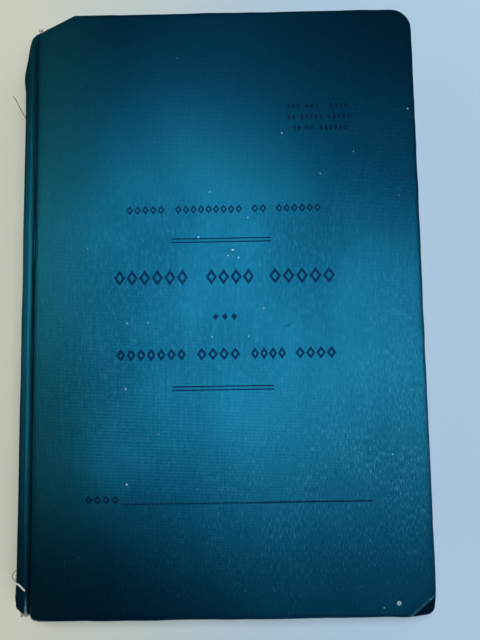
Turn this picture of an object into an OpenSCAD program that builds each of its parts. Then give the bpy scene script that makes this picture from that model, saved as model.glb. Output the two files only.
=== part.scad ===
// Pilot's flying log book, case bound in cloth, lying closed on its back cover.
// Frame: X runs from the spine (-X) to the fore edge (+X), Y from tail to head, Z up.
// The origin is the middle of the base of the bounding box. All lengths are millimetres.

/* [Case] */
// Width from the outside of the spine to the fore edge of the boards
case_w = 148; // [130:1:170]
// Height of the boards, tail to head
case_h = 222; // [200:1:250]
// Thickness of the covering cloth
cloth_t = 0.4; // [0.3:0.05:0.6]
// Thickness of the cover boards
board_t = 2.5; // [1.5:0.1:3.5]
// Width of cloth turned over on to the inside of the boards
turn_in = 15; // [10:1:20]
// Distance from the outside of the spine to the spine edge of the boards
joint_w = 6.6; // [6:0.1:9]

/* [Worn corners] */
// Radius of the rounded corner at the head of the fore edge
fore_head_r = 8; // [3:0.5:12]
// Legs of the worn corner at the head of the spine, along the head and down the joint
head_wear = [13.5, 7]; // [4:0.5:20]
// Legs of the worn corner at the tail of the spine
tail_wear = [6.5, 3]; // [2:0.5:10]
// Leg of the bruised corner at the tail of the fore edge
fore_tail_wear = 2.5; // [1:0.5:5]

/* [Book block] */
// Number of sewn sections
section_count = 12; // [8:2:16]
// Thickness of one pressed section of eight leaves
section_t = 1.05; // [0.8:0.05:1.4]
// Thickness of the pastedowns and of the free endpapers
endpaper_t = 0.2; // [0.15:0.05:0.3]
// Air between one layer of paper and the next
leaf_gap = 0.05; // [0.05:0.01:0.1]
// Board left showing round the block at head, tail and fore edge
square = 3; // [2:0.5:5]
// Distance from the outside of the spine to the folds of the sections
fold_inset = 4.2; // [4:0.1:5]

/* [Sewing and spine] */
// Width of each linen sewing tape
tape_w = 15; // [10:1:20]
// Thickness of the sewing tapes
tape_t = 0.25; // [0.2:0.05:0.3]
// Distance between the middles of neighbouring tapes
tape_pitch = 62; // [50:1:66]
// Length of tape glued down on each board
tape_end = 25; // [15:1:40]
// Thickness of the sewing thread
thread_t = 0.3; // [0.2:0.05:0.4]
// Slack between the stitches and the folds, which lets each section turn a little
stitch_slack = 0.1; // [0.05:0.05:0.2]
// Distance from the head and tail of the block to the kettle stitches
kettle_in = 12; // [8:1:16]
// Thickness of the open mull cloth glued down the spine of the block
mull_t = 0.2; // [0.15:0.05:0.3]
// Thickness of the paper lining over the mull
lining_t = 0.25; // [0.2:0.05:0.4]
// Thickness of the stiff paper strip that shapes the hollow spine
inlay_t = 0.6; // [0.4:0.1:0.8]

/* [Cover print] */
// Height of the stamped ink above the cloth
print_t = 0.05; // [0.03:0.01:0.1]
// Length of the two double rules
rule_len = 36.5; // [25:0.5:50]
// Width of one line of a double rule
rule_w = 0.35; // [0.2:0.05:0.6]
// Distance of the upper and lower double rules from the middle of the cover
rule_y = [22.8, -31.1]; // [-60:0.1:60]
// Length of the line for the owner's name
name_line_len = 88; // [60:1:100]
// Distance of the name line from the middle of the cover
name_line_y = -71.3; // [-90:0.1:-50]

/* [Hidden] */
SECTIONS = [for (i = [1 : section_count]) str("section_", i < 10 ? "0" : "", i)];

// Heights of the layers, counted up from the surface that the book lies on
cover_t = cloth_t + board_t + endpaper_t;
section_pitch = section_t + leaf_gap;
flyleaf_z = cover_t + leaf_gap;
block_z = flyleaf_z + endpaper_t + leaf_gap;
case_t = 2 * block_z + section_count * section_pitch - leaf_gap;

// Places along X
spine_x = -case_w / 2;
fore_x = case_w / 2;
board_x = spine_x + joint_w;
fold_x = spine_x + fold_inset;
block_fore_x = fore_x - square;

// Half heights of the block and of the spine strip, whose head and tail are worn short
block_y = case_h / 2 - square;
spine_head_y = case_h / 2 - 5.5;
spine_tail_y = -case_h / 2 + 2.5;

// Edges of the pieces behind the folds, from the folds outwards
tape_x = fold_x - tape_t;
stitch_x = tape_x - thread_t;
thread_x = fold_x - stitch_slack;
mull_x = stitch_x - leaf_gap - mull_t;
lining_x = mull_x - leaf_gap - lining_t;

arc_steps = 8;
cloth_color = "#0b4a63";
board_color = "#9a9488";
paper_color = "#e9dfc4";
linen_color = "#d8ccb0";
ink_color = "#10202f";

// How far the legs of a corner cut change when the outline shrinks by d
function cut_scale(legs, d, side) =
    max(0.01, 1 + d * (norm([1 / legs[0], 1 / legs[1]]) - side / legs[0] - 1 / legs[1]));

// Plan of a cover, shrunk by d at head, tail and fore edge but not along the joint
function cover_plan(d) = let (
    top = case_h / 2 - d,
    right = fore_x - d,
    r = max(0.5, fore_head_r - d),
    head = head_wear * cut_scale(head_wear, d, 0),
    tail = tail_wear * cut_scale(tail_wear, d, 0),
    bruise = fore_tail_wear * cut_scale([fore_tail_wear, fore_tail_wear], d, 1)
) concat(
    [[board_x, -top + tail[1]], [board_x + tail[0], -top]],
    [[right - bruise, -top], [right, -top + bruise]],
    [for (i = [0 : arc_steps]) [right - r, top - r] + r * [cos(90 * i / arc_steps), sin(90 * i / arc_steps)]],
    [[board_x + head[0], top], [board_x, top - head[1]]]
);

// Plan of the leaves, whose corner at the head of the spine is worn with the boards
block_plan = [
    [fold_x, -block_y],
    [block_fore_x, -block_y],
    [block_fore_x, block_y],
    [fold_x + 12, block_y],
    [fold_x, block_y - 8]
];

// Plan of the spine strip, narrowed where its head and tail are crushed in
spine_plan = [
    [spine_x, spine_tail_y + 6],
    [spine_x + 2.5, spine_tail_y],
    [board_x, spine_tail_y],
    [board_x, spine_head_y],
    [spine_x + 4, spine_head_y],
    [spine_x, spine_head_y - 9]
];

// Outside of the covering cloth from the front board down to the middle of the spine, as [x, z]
half_curve = [
    [board_x, case_t],
    [board_x - 0.4, case_t - 0.3],
    [board_x - 0.7, case_t - 1.5],
    [board_x - 1.5, case_t - 1],
    [board_x - 2.8, case_t - 0.9],
    [board_x - 4.6, case_t - 2],
    [board_x - 6, case_t - 4],
    [spine_x, case_t - 6.5]
];
hinge_points = 5;

function upside_down(points) = [for (p = points) [p[0], case_t - p[1]]];
function reversed(points) = [for (i = [len(points) - 1 : -1 : 0]) points[i]];
function slice(points, first, last) = [for (i = [first : last]) points[i]];

// A curve moved a distance d to the left of the way it runs
function direction(p, q) = (q - p) / norm(q - p);
function left_of(v) = [-v[1], v[0]];
function moved(points, d) = [
    for (i = [0 : len(points) - 1]) let (
        before = direction(points[max(i - 1, 0)], points[max(i, 1)]),
        after = direction(points[min(i, len(points) - 2)], points[min(i + 1, len(points) - 1)]),
        normal = left_of(before) + left_of(after)
    ) points[i] + normal * 2 * d / (normal * normal)
];

// Outside of the cloth from board to board, and the same curve at a depth below it
case_curve = concat(half_curve, reversed(upside_down(half_curve)));
last_point = len(case_curve) - 1;
function depth_curve(d) = [for (p = moved(case_curve, d)) [min(p[0], board_x), p[1]]];

// The layer between two depths along a stretch of the curve
function layer(first, last, near, far) = concat(
    slice(depth_curve(near), first, last),
    reversed(slice(depth_curve(far), first, last))
);

// Prism along Y of a profile in X and Z
module along_y(profile, y0, y1) {
    translate([0, y1, 0])
        rotate([90, 0, 0])
            linear_extrude(y1 - y0)
                polygon(profile);
}

// Sheet of a plan in X and Y from z0 to z1
module sheet(plan, z0, z1) {
    translate([0, 0, z0])
        linear_extrude(z1 - z0)
            polygon(plan);
}

// Carries a piece of the back cover over to the front
module to_front() {
    translate([0, 0, case_t])
        mirror([0, 0, 1])
            children();
}

// Pockets, or the tape ends themselves, on the inside of a board
module tape_end_blocks() {
    for (i = [-1 : 1])
        translate([board_x, i * tape_pitch - tape_w / 2, cover_t - endpaper_t - tape_t])
            cube([tape_end, tape_w, tape_t]);
}

module board() {
    difference() {
        union() {
            sheet(cover_plan(cloth_t), cloth_t, cloth_t + board_t - cloth_t);
            sheet(cover_plan(turn_in), cloth_t + board_t - cloth_t, cloth_t + board_t);
        }
        tape_end_blocks();
    }
}

module cover_cloth() {
    difference() {
        sheet(cover_plan(0), 0, cloth_t + board_t);
        sheet(cover_plan(cloth_t), cloth_t, board_t);
        translate([0, 0, board_t])
            linear_extrude(2 * cloth_t)
                polygon(cover_plan(turn_in));
        translate([board_x - 1, -case_h / 2 + turn_in, cloth_t])
            cube([1 + cloth_t, case_h - 2 * turn_in, 2 * board_t]);
    }
}

module pastedown() {
    sheet(cover_plan(square), cloth_t + board_t, cover_t);
}

module back_board() {
    color(board_color) board();
}

module front_board() {
    color(board_color) to_front() board();
}

module back_cover_cloth() {
    color(cloth_color) cover_cloth();
}

module front_cover_cloth() {
    color(cloth_color) to_front() cover_cloth();
}

module back_pastedown() {
    color(paper_color) pastedown();
}

module front_pastedown() {
    color(paper_color) to_front() pastedown();
}

module front_hinge_cloth() {
    color(cloth_color) along_y(layer(0, hinge_points - 1, 0, cloth_t), spine_tail_y, spine_head_y);
}

module back_hinge_cloth() {
    first = last_point - hinge_points + 1;
    color(cloth_color) along_y(layer(first, last_point, 0, cloth_t), spine_tail_y, spine_head_y);
}

// A layer round the spine, with its head and tail narrowed
module round_spine(first, near, far) {
    intersection() {
        along_y(layer(first, last_point - first, near, far), -case_h, case_h);
        sheet(spine_plan, 0, case_t);
    }
}

module spine_cloth() {
    color(cloth_color) round_spine(hinge_points - 1, 0, cloth_t);
}

module spine_inlay() {
    inlay_depth = cloth_t + leaf_gap;
    color(board_color) round_spine(hinge_points, inlay_depth, inlay_depth + inlay_t);
}

// Fold of an endpaper where it leaves the board for the block
module endpaper_fold() {
    edge_x = fold_x + 0.4;
    along_y([
        [edge_x - endpaper_t, cover_t - endpaper_t],
        [board_x, cover_t - endpaper_t],
        [board_x, cover_t],
        [edge_x, cover_t],
        [edge_x, flyleaf_z + endpaper_t],
        [edge_x - endpaper_t, flyleaf_z + endpaper_t]
    ], -block_y, block_y - 8);
}

module flyleaf() {
    edge_x = fold_x + 0.4;
    intersection() {
        sheet(block_plan, flyleaf_z, flyleaf_z + endpaper_t);
        translate([edge_x, -case_h / 2, 0])
            cube([case_w, case_h, case_t]);
    }
}

module back_endpaper_fold() {
    color(paper_color) endpaper_fold();
}

module front_endpaper_fold() {
    color(paper_color) to_front() endpaper_fold();
}

module back_flyleaf() {
    color(paper_color) flyleaf();
}

module front_flyleaf() {
    color(paper_color) to_front() flyleaf();
}

// Section number i, counted from the front cover
function section_z(i) = block_z + (section_count - i) * section_pitch;

module section(i) {
    color(paper_color) sheet(block_plan, section_z(i), section_z(i) + section_t);
}

// One outside stitch of a section over a tape, as a staple round the tape
module stitch(y, z) {
    half = tape_w / 2;
    translate([0, y, z - thread_t / 2])
        linear_extrude(thread_t)
            polygon([
                [thread_x, -half - thread_t],
                [thread_x, -half],
                [tape_x, -half],
                [tape_x, half],
                [thread_x, half],
                [thread_x, half + thread_t],
                [stitch_x, half + thread_t],
                [stitch_x, -half - thread_t]
            ]);
}

// Outside stitches and kettle stitches of the sections from first to last
module sewing(first, last) {
    for (i = [first : last]) {
        middle_z = section_z(i) + section_t / 2;
        for (t = [-1 : 1])
            stitch(t * tape_pitch, middle_z);
    }
    for (side = [-1, 1])
        translate([stitch_x, side * (block_y - kettle_in) - thread_t / 2, section_z(last) + section_t / 2])
            cube([thread_x - stitch_x, thread_t, (last - first) * section_pitch]);
}

module sewing_front() {
    color(linen_color) sewing(1, section_count / 2);
}

module sewing_back() {
    color(linen_color) sewing(section_count / 2 + 1, section_count);
}

module tape(y) {
    color(linen_color)
        translate([tape_x, y - tape_w / 2, block_z])
            cube([tape_t, tape_w, case_t - 2 * block_z]);
}

module tape_head() {
    tape(tape_pitch);
}

module tape_middle() {
    tape(0);
}

module tape_tail() {
    tape(-tape_pitch);
}

module back_tape_ends() {
    color(linen_color) tape_end_blocks();
}

module front_tape_ends() {
    color(linen_color) to_front() tape_end_blocks();
}

// Strip down the whole back of the block, short of its head and tail
module back_strip(x, thickness, short) {
    translate([x, -block_y + short, block_z])
        cube([thickness, 2 * block_y - 2 * short, case_t - 2 * block_z]);
}

module mull() {
    color(linen_color) back_strip(mull_x, mull_t, 9);
}

module spine_lining() {
    color("#b08d5b") back_strip(lining_x, lining_t, 9);
}

module rule(x, y, length) {
    translate([x - length / 2, y - rule_w / 2, case_t])
        cube([length, rule_w, print_t]);
}

module cover_print() {
    rule_gap = 1.3;
    color(ink_color) {
        for (y = rule_y)
            for (side = [-1, 1])
                rule(1, y + side * rule_gap / 2, rule_len);
        rule(fore_x - 21 - name_line_len / 2, name_line_y, name_line_len);
    }
}

front_board();
back_board();
front_cover_cloth();
back_cover_cloth();
front_hinge_cloth();
back_hinge_cloth();
spine_cloth();
spine_inlay();
front_pastedown();
back_pastedown();
front_endpaper_fold();
back_endpaper_fold();
front_flyleaf();
back_flyleaf();
for (i = [1 : section_count])
    section(i);
sewing_front();
sewing_back();
tape_head();
tape_middle();
tape_tail();
front_tape_ends();
back_tape_ends();
mull();
spine_lining();
cover_print();
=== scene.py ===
"""Looks of a cloth-bound pilot's log book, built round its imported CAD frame.

Lengths are millimetres until a mesh is made, and every piece keeps its rest position in
millimetres in an attribute, so that a material stays put when a piece bends.
"""
import math

import bmesh
import bpy
import numpy as np
from mathutils import Euler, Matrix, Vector, noise


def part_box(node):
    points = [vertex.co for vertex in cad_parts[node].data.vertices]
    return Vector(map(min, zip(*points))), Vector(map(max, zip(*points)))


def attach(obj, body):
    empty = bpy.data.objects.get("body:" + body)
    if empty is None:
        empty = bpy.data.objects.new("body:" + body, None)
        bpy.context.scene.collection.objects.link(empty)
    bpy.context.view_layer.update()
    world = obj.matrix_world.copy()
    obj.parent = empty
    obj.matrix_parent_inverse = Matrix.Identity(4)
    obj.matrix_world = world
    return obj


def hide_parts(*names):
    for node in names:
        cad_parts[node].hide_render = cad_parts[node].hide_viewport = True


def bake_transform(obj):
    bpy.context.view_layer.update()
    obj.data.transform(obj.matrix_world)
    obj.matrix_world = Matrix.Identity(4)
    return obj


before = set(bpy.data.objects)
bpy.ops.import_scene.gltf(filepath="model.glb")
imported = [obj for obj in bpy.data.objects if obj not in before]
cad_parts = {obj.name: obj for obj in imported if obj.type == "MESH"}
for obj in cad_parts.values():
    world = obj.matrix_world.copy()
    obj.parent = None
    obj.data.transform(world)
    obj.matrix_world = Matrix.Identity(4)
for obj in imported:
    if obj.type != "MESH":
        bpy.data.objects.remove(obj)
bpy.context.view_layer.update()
scene = bpy.context.scene
MM = 0.001


# ---- camera

CAMERA_PLACE = (9.1, -30.8, 256.0)
CAMERA_TURN = (5.81, 0.5, -0.92)
CAMERA_ANGLE = 52


def make_camera():
    data = bpy.data.cameras.new("camera")
    data.sensor_fit = "AUTO"
    data.lens_unit = "FOV"
    data.angle = math.radians(CAMERA_ANGLE)
    data.clip_start = 0.01
    data.clip_end = 60
    camera = bpy.data.objects.new("camera", data)
    camera.location = Vector(CAMERA_PLACE) * MM
    camera.rotation_euler = Euler([math.radians(a) for a in CAMERA_TURN])
    scene.collection.objects.link(camera)
    scene.camera = camera


make_camera()
scene.view_settings.view_transform = "Standard"


# ---- sizes from the frame

def box_mm(node):
    """The low and the high corner of a CAD node."""
    return [np.array(corner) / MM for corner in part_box(node)]


cover_low, cover_high = box_mm("front_cover_cloth")
spine_low, spine_high = box_mm("spine_cloth")
section_low, section_high = box_mm("section_01")

CASE_T = cover_high[2]
CASE_H = cover_high[1] - cover_low[1]
BOARD_X = cover_low[0]
FORE_X = cover_high[0]
SPINE_X = spine_low[0]
CLOTH_T = CASE_T - box_mm("front_board")[1][2]
COVER_T = CASE_T - cover_low[2]
SQUARE = FORE_X - box_mm("front_pastedown")[1][0]
FOLD_X = section_low[0]
BLOCK_X, BLOCK_Y = section_high[:2]
TURN_IN = 15
SECTIONS = 12
LEAF_RULE = 6.4
COLUMN_RULE = 15.5

# Where a page is ruled: the axis, the field's middle on it and half its size
RULED_FIELD = ((0, 2, 62), (1, -4, 88))

# Worn corners: how far the cut runs along the head or tail, and along the joint
HEAD_WEAR = (13.5, 7)
TAIL_WEAR = (6.5, 3)
LEAF_CUT = (12, 8)
FORE_HEAD_R = 8
FORE_TAIL_WEAR = 2.5


# ---- mesh helpers

def wobble(x, y, z=0.0, scale=1.0):
    """Smooth noise from -1 to 1 at a place in millimetres."""
    return noise.noise(Vector((x, y, z)) * scale)


def add_mesh(name, points, faces, material, smooth=True, values=None):
    """A mesh of points in millimetres, with its rest place and any other values kept on it."""
    points = np.asarray(points, float).reshape(-1, 3)
    mesh = bpy.data.meshes.new(name)
    mesh.from_pydata((points * MM).tolist(), [], faces)
    mesh.validate()
    edit = bmesh.new()
    edit.from_mesh(mesh)
    bmesh.ops.recalc_face_normals(edit, faces=edit.faces)
    edit.to_mesh(mesh)
    edit.free()
    mesh.shade_smooth() if smooth else mesh.shade_flat()
    rest = mesh.attributes.new("rest", "FLOAT_VECTOR", "POINT")
    rest.data.foreach_set("vector", points.astype(np.float32).ravel())
    for key, column in (values or {}).items():
        attribute = mesh.attributes.new(key, "FLOAT", "POINT")
        attribute.data.foreach_set("value", np.asarray(column, np.float32).ravel())
    mesh.materials.append(material)
    piece = bpy.data.objects.new(name, mesh)
    scene.collection.objects.link(piece)
    return piece


def solid_faces(rows, columns, first=0):
    """Faces of a closed sheet: two grids of points, joined round their rim."""
    count = rows * columns
    faces = []
    for start in (first, first + count):
        for row in range(start, start + count - columns, columns):
            faces += [(a, a + 1, a + columns + 1, a + columns) for a in range(row, row + columns - 1)]
    rim = [i * columns for i in range(rows)]
    rim += [(rows - 1) * columns + j for j in range(1, columns)]
    rim += [i * columns + columns - 1 for i in range(rows - 2, -1, -1)]
    rim += range(columns - 2, 0, -1)
    for a, b in zip(rim, rim[1:] + rim[:1]):
        faces.append((first + a, first + b, first + b + count, first + a + count))
    return faces


def loft(rings):
    """Points and faces of closed rings with one count of points, capped at both ends."""
    count = len(rings[0])
    points = np.concatenate(rings)
    faces = []
    for k in range(len(rings) - 1):
        for j in range(count):
            a, b = k * count + j, k * count + (j + 1) % count
            faces.append((a, b, b + count, a + count))
    faces.append(tuple(range(count)))
    faces.append(tuple(range((len(rings) - 1) * count, len(rings) * count)))
    return points, faces


def curve_through(points, steps):
    """Catmull-Rom curve through 2D points, with that many steps between neighbours."""
    points = np.asarray(points, float)
    padded = np.vstack([2 * points[0] - points[1], points, 2 * points[-1] - points[-2]])
    out = []
    for i in range(1, len(padded) - 2):
        a, b, c, d = padded[i - 1:i + 3]
        for t in np.arange(steps) / steps:
            out.append(b + 0.5 * t * (c - a + t * (2 * a - 5 * b + 4 * c - d + t * (3 * (b - c) + d - a))))
    out.append(padded[-2])
    return np.array(out)


def sheet_solid(name, outer, inner, material, values=None):
    """A closed sheet between two grids of points of one shape, outer and inner."""
    both = np.concatenate([outer.reshape(-1, 3), inner.reshape(-1, 3)])
    doubled = {key: np.tile(np.asarray(v).ravel(), 2) for key, v in (values or {}).items()}
    return add_mesh(name, both, solid_faces(*outer.shape[:2]), material, values=doubled)


def profile_normals(curve):
    """Unit vectors at right angles to a curve of (x, z) points."""
    run = np.gradient(curve, axis=0)
    return np.column_stack([run[:, 1], -run[:, 0]]) / np.hypot(run[:, 0], run[:, 1])[:, None]


def metres(x, z):
    return (x * MM, 0, z * MM)


def settle(piece, body, node):
    """Ties a piece to a body, or only bakes its place in when given the two bodies of a bend, and hides
    its CAD node, if any.
    """
    if isinstance(body, str):
        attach(piece, body)
    else:
        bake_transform(piece)
    if node:
        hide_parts(node)


# ---- material helpers

class Nodes:
    """Short names for the nodes that the materials and the world here are made of."""

    def __init__(self, name, on_cad=False, world=None):
        self.on_cad = on_cad
        self.material = world or bpy.data.materials.new(name)
        self.material.use_nodes = True
        self.tree = self.material.node_tree
        self.shader = self.tree.nodes["Background" if world else "Principled BSDF"]

    def put(self, socket, value):
        if isinstance(value, bpy.types.NodeSocket):
            self.tree.links.new(value, socket)
        elif value is not None:
            socket.default_value = value

    def add(self, kind, **inputs):
        """A new node, with its inputs set or linked."""
        node = self.tree.nodes.new("ShaderNode" + kind)
        for key, item in inputs.items():
            self.put(node.inputs[key], item)
        return node

    def kept(self, name, output="Fac"):
        """A number or a place that add_mesh kept on the points."""
        node = self.add("Attribute")
        node.attribute_name = name
        return node.outputs[output]

    def rest(self, scale=(1, 1, 1)):
        """Rest place in millimetres, times scale. A CAD mesh keeps none, but it never bends."""
        if self.on_cad:
            place = self.add("TexCoord").outputs["Object"]
            scale = [s / MM for s in scale]
        else:
            place = self.kept("rest", "Vector")
        return self.add("Mapping", Vector=place, Scale=scale).outputs["Vector"]

    def split(self, vector):
        return self.add("SeparateXYZ", Vector=vector).outputs

    def math(self, operation, a, b=None, c=None, clamp=False):
        node = self.add("Math")
        node.operation = operation
        node.use_clamp = clamp
        for socket, value in zip(node.inputs, (a, b, c)):
            self.put(socket, value)
        return node.outputs[0]

    def plus(self, a, b):
        return self.math("ADD", a, b)

    def minus(self, a, b, clamp=False):
        return self.math("SUBTRACT", a, b, clamp=clamp)

    def times(self, a, b, clamp=False):
        return self.math("MULTIPLY", a, b, clamp=clamp)

    def most(self, a, b, clamp=False):
        return self.math("MAXIMUM", a, b, clamp=clamp)

    def squares(self, x, y):
        return self.plus(self.math("POWER", x, 2), self.math("POWER", y, 2))

    def distance(self, x, y):
        return self.math("SQRT", self.squares(x, y))

    def noise(self, scale=1.0, detail=2.0, rough=0.5, stretch=(1, 1, 1)):
        node = self.add("TexNoise", Vector=self.rest(stretch), Scale=scale, Detail=detail, Roughness=rough)
        return node.outputs["Fac"]

    def specks(self, scale, size, share):
        """1 inside small round specks, which that share of the cells hold."""
        node = self.add("TexVoronoi", Vector=self.rest(), Scale=scale)
        near = self.math("LESS_THAN", node.outputs["Distance"], size)
        red = self.split(node.outputs["Color"])[0]
        return self.times(near, self.math("LESS_THAN", red, share))

    def fade(self, value, low, high, out_low=0.0, out_high=1.0):
        """out_low up to low, out_high from high on, and a smooth change between them."""
        node = self.add("MapRange")
        node.interpolation_type = "SMOOTHSTEP"
        for socket, item in zip(node.inputs, (value, low, high, out_low, out_high)):
            self.put(socket, item)
        return node.outputs[0]

    def mix(self, factor, a, b):
        node = self.add("Mix")
        node.data_type = "RGBA"
        for key, item in (("Factor", factor), ("A", a), ("B", b)):
            sockets = [s for s in node.inputs if s.name == key and s.enabled]
            self.put(sockets[0], item)
        return [s for s in node.outputs if s.enabled][0]

    def bump(self, height, distance, strength=1.0):
        """distance is in metres, for a height from 0 to 1."""
        node = self.add("Bump", Strength=strength, Distance=distance, Height=height)
        self.tree.links.new(node.outputs["Normal"], self.shader.inputs["Normal"])

    def set(self, **sockets):
        """Sets or links sockets of the shader, and returns the material."""
        for key, item in sockets.items():
            self.put(self.shader.inputs[key.replace("_", " ").title()], item)
        return self.material


def rgb(*colour):
    return (*colour, 1.0)


def weave(n, pitch_x, pitch_y):
    """Height of a plain weave, from 0 to 1."""
    place = n.split(n.rest())
    drift = n.noise(1.0, 3.0, stretch=(0.35, 0.06, 0.2))
    x = n.math("MULTIPLY_ADD", drift, 0.9, place[0])
    phase_x = n.times(x, math.pi / pitch_x)
    phase_y = n.times(n.plus(place[1], place[2]), math.pi / pitch_y)
    warp = n.math("ABSOLUTE", n.math("SINE", phase_x))
    weft = n.math("ABSOLUTE", n.math("SINE", phase_y))
    over = n.math("SINE", n.plus(phase_x, phase_y))
    choice = n.fade(over, -0.4, 0.4)
    return n.plus(n.times(warp, choice), n.times(weft, n.minus(1.0, choice)))


# ---- materials

BLUE = rgb(0.009, 0.155, 0.268)
BLUE_WORN = rgb(0.02, 0.2, 0.32)
BLUE_DARK = rgb(0.001, 0.038, 0.085)
# Painted warm light: a greenish tint on the spine's side of the cover
WARM_LIGHT_TINT = rgb(0.01, 0.1, 0.11)
# Near-black blue: real dirt at the cover's edges, and painted shade in the groove, on the spine near head
# and tail, towards the head of the cover, at the spine's tail and on the bent corner
SHADE_AND_SOIL = rgb(0.001, 0.008, 0.016)
FIBRE = rgb(0.2, 0.36, 0.44)
RUBBED_BLUE = rgb(0.03, 0.2, 0.33)
FRAYED = rgb(0.1, 0.1, 0.095)
SPECK = rgb(0.42, 0.55, 0.58)
INK_BLUE = rgb(0.001, 0.018, 0.058)
INK_MISSED = rgb(0.002, 0.038, 0.095)
RULE_BLUE = rgb(0.16, 0.3, 0.46)
RULE_RED = rgb(0.45, 0.08, 0.07)
FOXING = rgb(0.3, 0.16, 0.06)
BOARD_GREY = rgb(0.2, 0.19, 0.16)
# Painted highlight along the crease of the bent corner
CREASE_HIGHLIGHT_BLUE = rgb(0.06, 0.27, 0.33)
DYE_GLOSS = 0.96
GLANCE_TINT = rgb(0.22, 0.36, 0.45)
THREADS_X = 0.42
THREADS_Y = 0.5
# Y of the middle line of the cover's painted highlight; the cloth is painted darker further from it, as
# painted shade
HIGHLIGHT_Y = -5

# Lines on the cover, each from one (x, y) to another
CREASE = ((66.0, -110.1), (72.3, -105.1))
DENT = ((23.5, -9.7), (26.3, -8.0))

# Small round marks on the cover: x, y and radius
PALE_MARKS = ((71.2, 71.5, 0.45), (24.1, 62.9, 0.4), (50.5, 55.4, 0.3), (38.0, 47.2, 0.3),
              (-3.0, 41.0, 0.3), (-7.3, 24.0, 0.45), (-7.7, 22.2, 0.3), (5.2, 19.1, 0.5),
              (3.4, 17.0, 0.3), (7.3, 16.2, 0.35), (-33.4, -7.3, 0.35), (-26.0, -7.2, 0.3),
              (-34.0, -30.9, 0.4), (-2.7, -12.7, 0.3), (16.1, -2.6, 0.3), (55.7, -107.6, 0.35),
              (-33.5, -64.5, 0.5), (-67.3, -0.3, 0.4))
PAINT_RING = (60.9, -106.1, 0.9)


def beyond_line(n, place, line):
    """How far a place lies to the right of a line across the cover."""
    (ax, ay), (bx, by) = line
    length = math.hypot(bx - ax, by - ay)
    along_x = n.times(n.minus(place[0], ax), (by - ay) / length)
    along_y = n.times(n.minus(place[1], ay), (bx - ax) / length)
    return n.minus(along_x, along_y)


def near_mark(n, place, x, y, radius):
    """1 at the middle of a small round mark, 0 outside it."""
    out = n.squares(n.minus(place[0], x), n.minus(place[1], y))
    return n.fade(out, 0, radius ** 2, 1, 0)


def cover_marks_and_painted_light(n, place, colour):
    """Flecks and a ring of paint on the front cover and which places are pale, with painted shade in a
    dent, a painted highlight along the crease and painted shade on the corner bent down beyond it.
    """
    top = n.math("GREATER_THAN", place[2], CASE_T - 4)
    flecks = None
    for x, y, radius in PALE_MARKS:
        spot = near_mark(n, place, x, y, radius)
        flecks = spot if flecks is None else n.most(flecks, spot)
    x, y, radius = PAINT_RING
    disc = n.times(near_mark(n, place, x, y, radius), 2.2)
    hole = n.times(near_mark(n, place, x, y, radius * 0.5), 1.9)
    pale = n.times(n.most(flecks, n.minus(disc, hole, clamp=True)), top)

    # Painted shade along a small dent, which has no depth in the mesh
    middle = [(a + b) / 2 for a, b in zip(*DENT)]
    dent = n.fade(n.math("ABSOLUTE", beyond_line(n, place, DENT)), 0, 0.6, 1, 0)
    dent = n.times(n.times(dent, near_mark(n, place, *middle, 2.0)), top)

    past = beyond_line(n, place, CREASE)
    # Painted highlight along the near side of the crease, broken up by noise
    broken = n.fade(n.noise(1.3, 3.0, 0.6), 0.4, 0.65, 0.1, 1)
    crease_highlight = n.times(n.fade(past, -1.2, -0.4), n.fade(past, -0.25, 0.1, 1, 0))
    colour = n.mix(n.times(n.times(crease_highlight, top), broken), colour, CREASE_HIGHLIGHT_BLUE)
    # Painted shade on the corner bent down beyond the crease, less where the cloth is rubbed
    unworn = n.fade(n.kept("wear"), 0.3, 0.75, 1, 0.3)
    bent = n.times(n.times(n.fade(past, -0.1, 0.3), top), unworn)
    colour = n.mix(n.times(bent, 0.9), colour, SHADE_AND_SOIL)
    colour = n.mix(n.times(dent, 0.6), colour, BLUE_DARK)
    return n.mix(n.times(pale, 0.8), colour, SPECK), pale


def dyed(n, place, threads, mottle, off_highlight):
    """Streaked and clouded blue, with painted light on it: painted shade further from the middle line of
    the cover's painted highlight, towards the head, towards the fore-edge corner at the head and at the
    spine's tail, and a painted warm tint on the spine's side.
    """
    streaks = n.noise(1.0, 3.0, 0.65, stretch=(2.4, 0.045, 0.6))
    clouds = n.noise(1.0, 3.0, stretch=(0.018, 0.014, 0.02))
    # Distance to the painted shade at the tail on the spine's side
    to_shaded_tail = n.distance(n.times(n.minus(place[0], SPINE_X), 0.55), n.plus(place[1], CASE_H / 2))
    colour = n.mix(n.fade(clouds, 0.3, 0.7, 0.35, 1), BLUE_DARK, BLUE)
    for value, low, high, share_low, share_high, tint in (
            (streaks, 0.5, 0.8, 0, 0.35, BLUE_WORN),
            (streaks, 0.2, 0.5, 0.35, 0, BLUE_DARK),
            (mottle, 0.45, 0.8, 0, 0.5, BLUE_WORN),
            # Painted shade, darker further from the middle line of the painted highlight
            (off_highlight, 15, 112, 0, 0.9, BLUE_DARK),
            # Painted shade, darker towards the fore-edge corner at the head and towards the head
            (n.plus(place[0], place[1]), 30, 125, 0, 0.85, BLUE_DARK),
            (place[1], 62, 112, 0, 0.45, SHADE_AND_SOIL),
            # Painted warm light on the spine's side
            (place[0], SPINE_X, SPINE_X + 42, 0.6, 0, WARM_LIGHT_TINT),
            # Painted shade at the spine's tail
            (to_shaded_tail, 8, 62, 0.75, 0, SHADE_AND_SOIL),
            (threads, 0.05, 0.5, 0.45, 0, BLUE_DARK)):
        colour = n.mix(n.fade(value, low, high, share_low, share_high), colour, tint)
    return colour


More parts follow.
